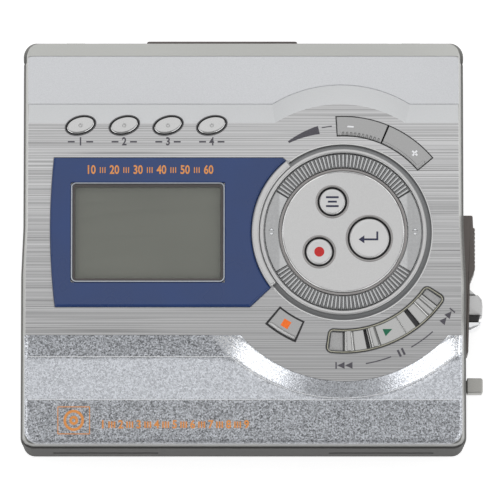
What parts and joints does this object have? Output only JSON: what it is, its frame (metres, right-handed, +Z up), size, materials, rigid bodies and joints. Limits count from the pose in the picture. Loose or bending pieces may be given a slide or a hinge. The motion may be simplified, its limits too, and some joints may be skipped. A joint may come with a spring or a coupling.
{
  "type": "portable minidisc player",
  "caption": "Pocket disc player with a rear-hinged lid that carries a display, a jog ring round a disc of buttons, volume and transport keys, over a tilting disc holder and its drive.",
  "frame": {"origin": "centre of the flat bottom face", "axes": "+X to the player's right, +Y to the rear where the hinge is, +Z up through the lid"},
  "size_m": [0.0888, 0.0793, 0.0261],
  "materials": {
    "silver_paint": "satin silver paint",
    "striped_metal": "finely ribbed satin aluminium",
    "case_silver": "satin silver paint",
    "steel": "plain sheet steel",
    "bright_metal": "polished",
    "blue_plastic": "semi-gloss blue",
    "key_silver": "satin silver",
    "brown_rubber": "textured",
    "dark_plastic": "black",
    "grey_plastic": "grey",
    "clear_window": "clear",
    "lcd_grey": "grey-green film",
    "board_green": "solder mask",
    "cell_blue": "plastic sleeve",
    "contact_metal": "plated",
    "lens_glass": "coated",
    "tray_metal": "satin"
  },
  "bodies": {
    "base": {"lower_case": "case_silver", "case_screws": "steel", "hinge_pins": "steel", "battery_cell": "cell_blue", "battery_contacts": "contact_metal", "main_board": "board_green", "board_chips": "dark_plastic", "headphone_jack": "dark_plastic", "line_in_jack": "dark_plastic", "dc_jack": "dark_plastic", "chassis": "steel", "chassis_dampers": "brown_rubber", "spindle_motor": "steel", "guide_rods": "bright_metal", "sled_motor": "steel", "side_rail": "brown_rubber", "terminal_cover": "brown_rubber"},
    "battery_door": {"battery_door": "case_silver"},
    "turntable": {"turntable": "dark_plastic"},
    "sled": {"pickup_sled": "grey_plastic", "objective_lens": "lens_glass"},
    "drive_gear": {"drive_gear": "grey_plastic"},
    "motor_pinion": {"motor_pinion": "contact_metal"},
    "open_slider": {"open_knob": "bright_metal", "latch_bar": "steel"},
    "hold_slider": {"hold_knob": "brown_rubber"},
    "lid": {"lid_shell": "silver_paint", "rear_cover": "silver_paint", "face_plate": "striped_metal", "front_cover": "silver_paint", "display_bezel": "blue_plastic", "dial_surround": "key_silver", "display_frame": "bright_metal", "display_window": "clear_window", "lcd_panel": "lcd_grey", "lcd_backlight": "grey_plastic", "lid_board": "board_green", "dome_switches": "steel", "dial_ring": "key_silver", "dial_disc": "key_silver", "key_tray": "tray_metal", "lid_inner_cover": "steel", "lid_screws": "steel", "lid_hook": "steel"},
    "jog_ring": {"jog_ring": "key_silver"},
    "disc_holder": {"disc_holder": "steel"},
    "recording_head": {"recording_head": "steel"},
    "display_button": {"display_button": "key_silver"},
    "mode_button": {"mode_button": "key_silver"},
    "character_button": {"character_button": "key_silver"},
    "bass_button": {"bass_button": "key_silver"},
    "volume_down_key": {"volume_down_key": "key_silver"},
    "volume_up_key": {"volume_up_key": "key_silver"},
    "stop_key": {"stop_key": "key_silver"},
    "rewind_key": {"rewind_key": "key_silver"},
    "play_key": {"play_key": "key_silver"},
    "forward_key": {"forward_key": "key_silver"},
    "edit_button": {"edit_button": "key_silver"},
    "record_button": {"record_button": "key_silver"},
    "enter_button": {"enter_button": "key_silver"}
  },
  "joints": [
    {"name": "lid_hinge", "type": "hinge", "parent": "base", "child": "lid", "pos_m": [0, 0.0372, 0.014], "axis": [-1, 0, 0], "range_deg": [0, 50]},
    {"name": "holder_hinge", "type": "hinge", "parent": "base", "child": "disc_holder", "pos_m": [0, 0.0372, 0.014], "axis": [-1, 0, 0], "range_deg": [0, 25]},
    {"name": "head_travel", "type": "slide", "parent": "disc_holder", "child": "recording_head", "axis": [1, 0, 0], "range_m": [0, 0.015]},
    {"name": "sled_travel", "type": "slide", "parent": "base", "child": "sled", "axis": [1, 0, 0], "range_m": [0, 0.015]},
    {"name": "drive_gear_spin", "type": "hinge", "parent": "base", "child": "drive_gear", "pos_m": [0.0175, 0.0128, 0.0102], "axis": [0, 0, 1], "range_deg": [0, 361]},
    {"name": "motor_pinion_spin", "type": "hinge", "parent": "base", "child": "motor_pinion", "pos_m": [0.02202, 0.01733, 0.0102], "axis": [0, 0, 1], "range_deg": [-1077, 0]},
    {"name": "turntable_spin", "type": "hinge", "parent": "base", "child": "turntable", "pos_m": [0, -0.0035, 0.012], "axis": [0, 0, 1], "continuous": true},
    {"name": "battery_door_hinge", "type": "hinge", "parent": "base", "child": "battery_door", "pos_m": [-0.0413, -0.01815, 0.0044], "axis": [0, 0, -1], "range_deg": [0, 90]},
    {"name": "open_slide", "type": "slide", "parent": "base", "child": "open_slider", "axis": [0, -1, 0], "range_m": [0, 0.0025], "stiffness_N_per_m": 60, "springref_m": -0.001},
    {"name": "hold_slide", "type": "slide", "parent": "base", "child": "hold_slider", "axis": [0, -1, 0], "range_m": [0, 0.0025]},
    {"name": "jog_turn", "type": "hinge", "parent": "lid", "child": "jog_ring", "pos_m": [0.0189, 0.0012, 0.0252], "axis": [0, 0, 1], "range_deg": [-20, 20], "stiffness_Nm_per_rad": 0.02},
    {"name": "display_button_press", "type": "slide", "parent": "lid", "child": "display_button", "axis": [0, 0, -1], "range_m": [0, 0.0004], "stiffness_N_per_m": 300, "springref_m": -0.0003},
    {"name": "mode_button_press", "type": "slide", "parent": "lid", "child": "mode_button", "axis": [0, 0, -1], "range_m": [0, 0.0004], "stiffness_N_per_m": 300, "springref_m": -0.0003},
    {"name": "character_button_press", "type": "slide", "parent": "lid", "child": "character_button", "axis": [0, 0, -1], "range_m": [0, 0.0004], "stiffness_N_per_m": 300, "springref_m": -0.0003},
    {"name": "bass_button_press", "type": "slide", "parent": "lid", "child": "bass_button", "axis": [0, 0, -1], "range_m": [0, 0.0004], "stiffness_N_per_m": 300, "springref_m": -0.0003},
    {"name": "volume_down_key_press", "type": "slide", "parent": "lid", "child": "volume_down_key", "axis": [0, 0, -1], "range_m": [0, 0.0004], "stiffness_N_per_m": 300, "springref_m": -0.0003},
    {"name": "volume_up_key_press", "type": "slide", "parent": "lid", "child": "volume_up_key", "axis": [0, 0, -1], "range_m": [0, 0.0004], "stiffness_N_per_m": 300, "springref_m": -0.0003},
    {"name": "stop_key_press", "type": "slide", "parent": "lid", "child": "stop_key", "axis": [0, 0, -1], "range_m": [0, 0.0004], "stiffness_N_per_m": 300, "springref_m": -0.0003},
    {"name": "rewind_key_press", "type": "slide", "parent": "lid", "child": "rewind_key", "axis": [0, 0, -1], "range_m": [0, 0.0004], "stiffness_N_per_m": 300, "springref_m": -0.0003},
    {"name": "play_key_press", "type": "slide", "parent": "lid", "child": "play_key", "axis": [0, 0, -1], "range_m": [0, 0.0004], "stiffness_N_per_m": 300, "springref_m": -0.0003},
    {"name": "forward_key_press", "type": "slide", "parent": "lid", "child": "forward_key", "axis": [0, 0, -1], "range_m": [0, 0.0004], "stiffness_N_per_m": 300, "springref_m": -0.0003},
    {"name": "edit_button_press", "type": "slide", "parent": "lid", "child": "edit_button", "axis": [0, 0, -1], "range_m": [0, 0.0004], "stiffness_N_per_m": 300, "springref_m": -0.0003},
    {"name": "record_button_press", "type": "slide", "parent": "lid", "child": "record_button", "axis": [0, 0, -1], "range_m": [0, 0.0004], "stiffness_N_per_m": 300, "springref_m": -0.0003},
    {"name": "enter_button_press", "type": "slide", "parent": "lid", "child": "enter_button", "axis": [0, 0, -1], "range_m": [0, 0.0004], "stiffness_N_per_m": 300, "springref_m": -0.0003}
  ],
  "couplings": [
    {"joint": "holder_hinge", "follows": "lid_hinge", "ratio": 0.5},
    {"joint": "head_travel", "follows": "sled_travel", "ratio": 1},
    {"joint": "drive_gear_spin", "follows": "sled_travel", "rad_per_m": 416.67},
    {"joint": "motor_pinion_spin", "follows": "sled_travel", "rad_per_m": -1250}
  ]
}
